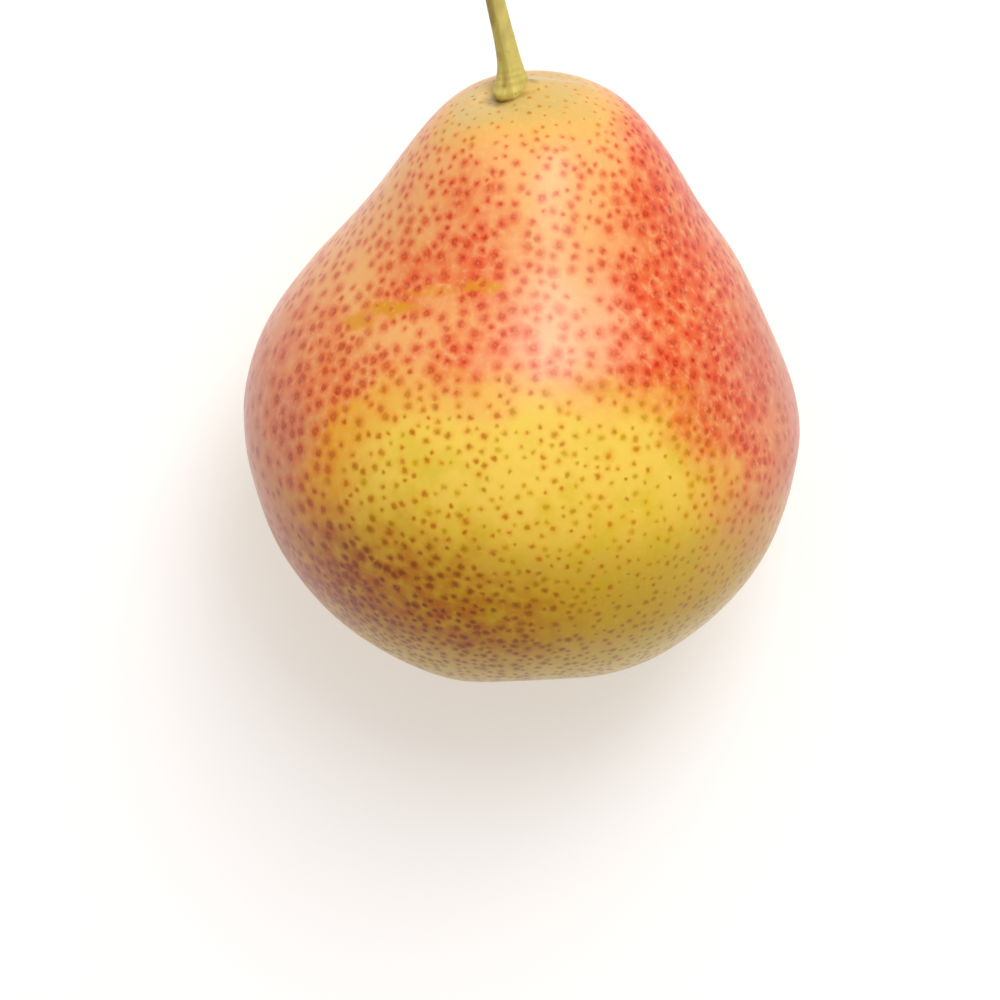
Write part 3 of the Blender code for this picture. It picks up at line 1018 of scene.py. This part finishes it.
def stem_material(settings):
    g = Graph("pear_stem")
    root = stem_frame().translation / MM
    own = g.turned(g.place, tuple(root), AXIS_RISE - math.pi / 2)
    own_x, _, own_z = g.parts(own)
    grain = g.noise(0.45, 4.0, where=own, stretch=(1.0, 1.0, 0.12))
    patches = g.noise(1.8, 3.0, where=own, stretch=(1.0, 1.0, 0.45))
    # The left side, away from the key light, gets more brown patches and a dark band: partly patchy
    # colour, partly painted shade
    leaning = g.plus(own_x, g.times(own_z, 0.2))
    left = g.step(leaning, -0.1, -1.1)
    colour = g.mix(g.between(grain, 0.0, 0.5), settings.olive, (0.42, 0.33, 0.05))
    colour = g.mix(g.times(g.step(own_z, 6.0, 0.0), 0.5), colour, (0.66, 0.50, 0.10))
    weather_and_shade = g.times(g.step(patches, 0.45, 0.7), g.between(left, 0.25, 0.85))
    colour = g.mix(weather_and_shade, colour, settings.brown)
    wavy = g.plus(leaning, g.times(g.math("SUBTRACT", patches, 0.5), 0.9))
    shade_streak = g.times(g.step(wavy, -0.05, -0.4), g.step(wavy, -1.15, -0.7))
    colour = g.mix(g.times(shade_streak, g.between(patches, 0.1, 0.9)), colour, (0.36, 0.26, 0.04))
    # Painted shade where the stem sinks into the flesh
    contact_shade = g.times(g.step(own_z, 0.7, -0.6), g.between(patches, 0.4, 1.0))
    colour = g.mix(contact_shade, colour, (0.40, 0.27, 0.035))
    high = g.step(own_z, 15.0, 26.0)
    colour = g.mix(g.times(high, g.between(patches, 0.5, 1.0)), colour, settings.brown)
    pits = g.step(g.noise(0.35, 2.0), 0.66, 0.74)
    colour = g.mix(g.times(pits, 0.5), colour, (0.12, 0.07, 0.02))
    normal = g.bump(g.plus(grain, patches), 0.06 * MM, 0.6)
    g.set(Base_Color=colour, Roughness=0.55, Subsurface_Weight=0.05, Normal=normal)
    g.set(Subsurface_Radius=(0.6, 0.4, 0.15), Subsurface_Scale=1.0 * MM)
    return g.material


# The calyx


def calyx_frame():
    """From the calyx's own frame, whose Z points out of the basin, to the row's."""
    own = Matrix.Translation((0.0, 0.0, CALYX_SEAT)) @ Matrix.Rotation(math.pi, 4, "X")
    return Matrix.Translation(RING_CENTRE) @ laid_down() @ own


def dried_sepal(number, chance):
    """One sepal: a thin pointed blade, creased along its middle, curled and twisted by drying."""
    start_fresh()
    bpy.ops.mesh.primitive_grid_add(x_subdivisions=14, y_subdivisions=6, size=2.0)
    sepal = bpy.context.object
    co = points_of(sepal)
    line = evenly(through(SEPAL_STATIONS_MM, 8), 60)
    share = (co[:, 0] + 1.0) / 2.0 * (len(line) - 1)
    out, up, width = (np.interp(share, range(len(line)), line[:, i]) for i in range(3))
    across = co[:, 1]
    tip = share / len(line)
    curl = chance.uniform(0.1, 0.75) * tip**2
    twist = chance.uniform(-0.5, 0.5) * tip
    crease = 0.35 * np.abs(across) ** 1.5 * (0.4 + tip)
    wave = 0.12 * np.sin(9.0 * tip + 4.0 * number + 2.0 * across)
    own = np.stack(
        [
            out - 1.3 * curl * tip,
            across * width * 0.95,
            up + crease * width + wave + twist * across * width - 0.25 * curl,
        ],
        axis=1,
    )
    turn = np.array(Matrix.Rotation(SEPAL_TURN + number * math.tau / SEPALS, 3, "Z"))
    move_points(sepal, own * MM @ turn.T)
    applied(sepal, "SOLIDIFY", thickness=0.16 * MM, offset=0.0)
    applied(sepal, "SUBSURF", levels=1, render_levels=1)
    return sepal


def dried_stamen(number, chance):
    """One withered stamen, a bent thread with a knob."""
    angle = number * math.tau * 0.382 + chance.uniform(-0.2, 0.2)
    reach = chance.uniform(0.5, 1.1)
    lean = chance.uniform(0.3, 0.9)
    points = []
    for step in range(7):
        t = step / 6
        out = reach + lean * t * t
        wobble = 0.14 * math.sin(5.0 * t + number)
        points.append(Vector((out * math.cos(angle) + wobble, out * math.sin(angle), 1.0 + 1.9 * t)) * MM)
    start_fresh()
    bpy.ops.mesh.primitive_circle_add(vertices=6, radius=0.09 * MM, fill_type="NGON", location=points[0])
    stamen = bpy.context.object
    bpy.ops.object.transform_apply(location=True)
    edit("SELECT")
    for here, there in zip(points, points[1:]):
        bpy.ops.mesh.extrude_region_move(TRANSFORM_OT_translate={"value": there - here})
    for scale, rise in ((1.9, 0.12), (0.9, 0.14), (0.5, 0.06)):
        bpy.ops.mesh.extrude_region_move(TRANSFORM_OT_translate={"value": (0.0, 0.0, rise * MM)})
        bpy.ops.transform.resize(value=(scale, scale, 1.0))
    leave()
    merged_and_facing_out(stamen)
    return stamen


def calyx_button():
    """The low tube that holds the sepals, with a hollow eye."""
    start_fresh()
    bpy.ops.mesh.primitive_cylinder_add(
        vertices=40, radius=CALYX_BUTTON_RADIUS, depth=2.2 * MM, location=(0.0, 0.0, 0.2 * MM)
    )
    button = bpy.context.object
    bpy.ops.object.transform_apply(location=True)
    edit("DESELECT")
    leave()
    for face in button.data.polygons:
        face.select = face.normal.z > 0.9
    edit()
    for inset, depth in ((0.2, 0.12), (0.3, 0.0), (0.25, -0.5), (0.3, -0.35)):
        bpy.ops.mesh.inset(thickness=inset * MM, depth=depth * MM)
    leave()
    applied(button, "BEVEL", width=0.08 * MM, segments=2, limit_method="ANGLE")
    return button


STAMENS = 11
CALYX_SEED = 5


class PEAR_OT_calyx(bpy.types.Operator):
    """Model the dried calyx: its button, five curled sepals and withered stamens"""

    bl_idname = "pear.calyx"
    bl_label = "Calyx"

    def execute(self, context):
        settings = context.scene.pear_calyx
        chance = random.Random(CALYX_SEED)
        pieces = [calyx_button()]
        pieces += [dried_sepal(number, chance) for number in range(SEPALS)]
        pieces += [dried_stamen(number, chance) for number in range(STAMENS)]
        start_fresh()
        for piece in pieces:
            piece.select_set(True)
        context.view_layer.objects.active = pieces[0]
        bpy.ops.object.join()
        calyx = context.object
        calyx.name = calyx.data.name = "pear_calyx"
        co = points_of(calyx)
        turn = np.array(calyx_frame().to_3x3())
        move_points(calyx, co @ turn.T + np.array(calyx_frame().translation))
        only(calyx)
        bpy.ops.object.shade_smooth_by_angle(angle=math.radians(50.0))
        calyx.data.materials.append(calyx_material(settings))
        place_piece(calyx, "calyx")
        return {"FINISHED"}


def calyx_material(settings):
    g = Graph("pear_calyx")
    fibre = g.noise(0.35, 4.0, stretch=(1.0, 1.0, 0.4))
    patch = g.noise(1.4, 3.0)
    colour = g.mix(g.step(patch, 0.45, 0.7), settings.brown, settings.straw)
    colour = g.mix(g.times(fibre, 0.4), colour, (0.04, 0.022, 0.012))
    normal = g.bump(fibre, 0.08 * MM, 0.8)
    g.set(Base_Color=colour, Roughness=0.85, Normal=normal)
    return g.material


# The stage

CAMERA_HEIGHT = 600.0 * MM  # above the middle of the widest ring
RING_FROM_FRAME_CENTRE = Vector((2.742, 8.089)) * MM  # where the ring's middle is in the picture
LIGHT_WAY = Vector((0.19, 0.43, 0.88))
SOFT_WAY = Vector((0.15, 0.56, 0.81))
PANEL_WAY = Vector((0.05, 0.30, 0.95))
PANEL_DISTANCE = 1.0
LIGHT_DISTANCE = 0.95
KEY_SIZE = (0.34, 0.56)
SOFT_SIZE = (0.70, 0.95)
PANEL_SIZE = 1.7
KEY_COLOUR = (1.0, 0.985, 0.96)
FLOOR_SIZE = 6.0
FLOOR_DROP = 0.02 * MM  # the table is this far under the flat spot, so that the two don't fight
NEAR_FLOOR_MM, FAR_FLOOR_MM = 95.0, 420.0  # its glow and its colour fade from the first to the second
FAR_SHADE, FAR_GLOW = 0.8, 0.3
GLOW_COLOUR = (1.0, 0.90, 0.80)


def hang_light(name, way, distance, power):
    """An area light that stands this way and this far from the fruit's middle, and faces it."""
    bpy.ops.object.light_add(type="AREA", location=RING_CENTRE + way.normalized() * distance)
    light = bpy.context.object
    light.name = name
    light.data.energy = power
    light.rotation_euler = (-way).to_track_quat("-Z", "Y").to_euler()
    return light


class PEAR_OT_stage(bpy.types.Operator):
    """Lay a pale table, hang a soft light and set the camera over the pear"""

    bl_idname = "pear.stage"
    bl_label = "Stage"

    def execute(self, context):
        stage = context.scene.pear_stage
        scene = context.scene
        start_fresh()
        bpy.ops.mesh.primitive_plane_add(size=FLOOR_SIZE, location=(0.0, 0.0, -FLOOR_DROP))
        floor = context.object
        floor.name = floor.data.name = "floor"
        g = Graph("floor")
        far = g.step(g.vector("LENGTH", g.place), NEAR_FLOOR_MM, FAR_FLOOR_MM)
        shade = g.times(g.between(g.noise(60.0, 3.0), 0.985, 1.0), g.between(far, 1.0, FAR_SHADE))
        g.set(Base_Color=g.vector("SCALE", tuple(stage.floor), scale=shade), Roughness=0.85)
        g.set(Emission_Color=GLOW_COLOUR, Emission_Strength=g.between(far, stage.glow, FAR_GLOW))
        floor.data.materials.append(g.material)

        key = hang_light("key", LIGHT_WAY, LIGHT_DISTANCE, stage.key_power)
        key.data.shape = "RECTANGLE"
        key.data.size, key.data.size_y = KEY_SIZE
        key.data.color = KEY_COLOUR
        soft = hang_light("soft", SOFT_WAY, LIGHT_DISTANCE, stage.soft_power)
        soft.data.shape = "RECTANGLE"
        soft.data.size, soft.data.size_y = SOFT_SIZE
        panel = hang_light("panel", PANEL_WAY, PANEL_DISTANCE, stage.panel_power)
        panel.data.shape = "DISK"
        panel.data.size = PANEL_SIZE
        for light in (soft, panel):
            light.visible_glossy = False

        world = bpy.data.worlds.new("surroundings")
        scene.world = world
        world.use_nodes = True
        background = world.node_tree.nodes["Background"]
        background.inputs["Color"].default_value = (1.0, 1.0, 1.0, 1.0)
        background.inputs["Strength"].default_value = stage.fill

        place = RING_CENTRE - Vector((*RING_FROM_FRAME_CENTRE, -CAMERA_HEIGHT))
        bpy.ops.object.camera_add(location=place, rotation=(0.0, 0.0, 0.0))
        camera = context.object
        camera.name = "camera"
        camera.data.lens = stage.lens
        camera.data.sensor_width = 36.0
        camera.data.clip_start = 0.01
        camera.data.clip_end = 20.0
        scene.camera = camera
        scene.view_settings.view_transform = "Standard"
        scene.view_settings.look = "None"
        return {"FINISHED"}


class PEAR_PT_parts(bpy.types.Panel):
    """The pear's pieces, each with its button"""

    bl_idname = "PEAR_PT_parts"
    bl_label = "Pear"
    bl_space_type = "VIEW_3D"
    bl_region_type = "UI"
    bl_category = "Pear"

    def draw(self, context):
        for name in ("fruit", "stem", "calyx", "stage"):
            self.layout.operator(f"pear.{name}")
        for group in ("pear_skin", "pear_stem", "pear_calyx", "pear_stage"):
            box = self.layout.box()
            settings = getattr(context.scene, group)
            for key in settings.__annotations__:
                box.prop(settings, key)


SETTINGS = {
    "pear_skin": PearSkinSettings,
    "pear_stem": PearStemSettings,
    "pear_calyx": PearCalyxSettings,
    "pear_stage": PearStageSettings,
}
CLASSES = (
    *SETTINGS.values(),
    PEAR_OT_fruit,
    PEAR_OT_stem,
    PEAR_OT_calyx,
    PEAR_OT_stage,
    PEAR_PT_parts,
)


def register():
    for cls in CLASSES:
        bpy.utils.register_class(cls)
    for name, group in SETTINGS.items():
        setattr(bpy.types.Scene, name, PointerProperty(type=group))


def unregister():
    for name in SETTINGS:
        delattr(bpy.types.Scene, name)
    for cls in reversed(CLASSES):
        bpy.utils.unregister_class(cls)


def main():
    register()
    bpy.ops.pear.fruit()
    bpy.ops.pear.stem()
    bpy.ops.pear.calyx()
    bpy.ops.pear.stage()


if __name__ == "__main__":
    main()
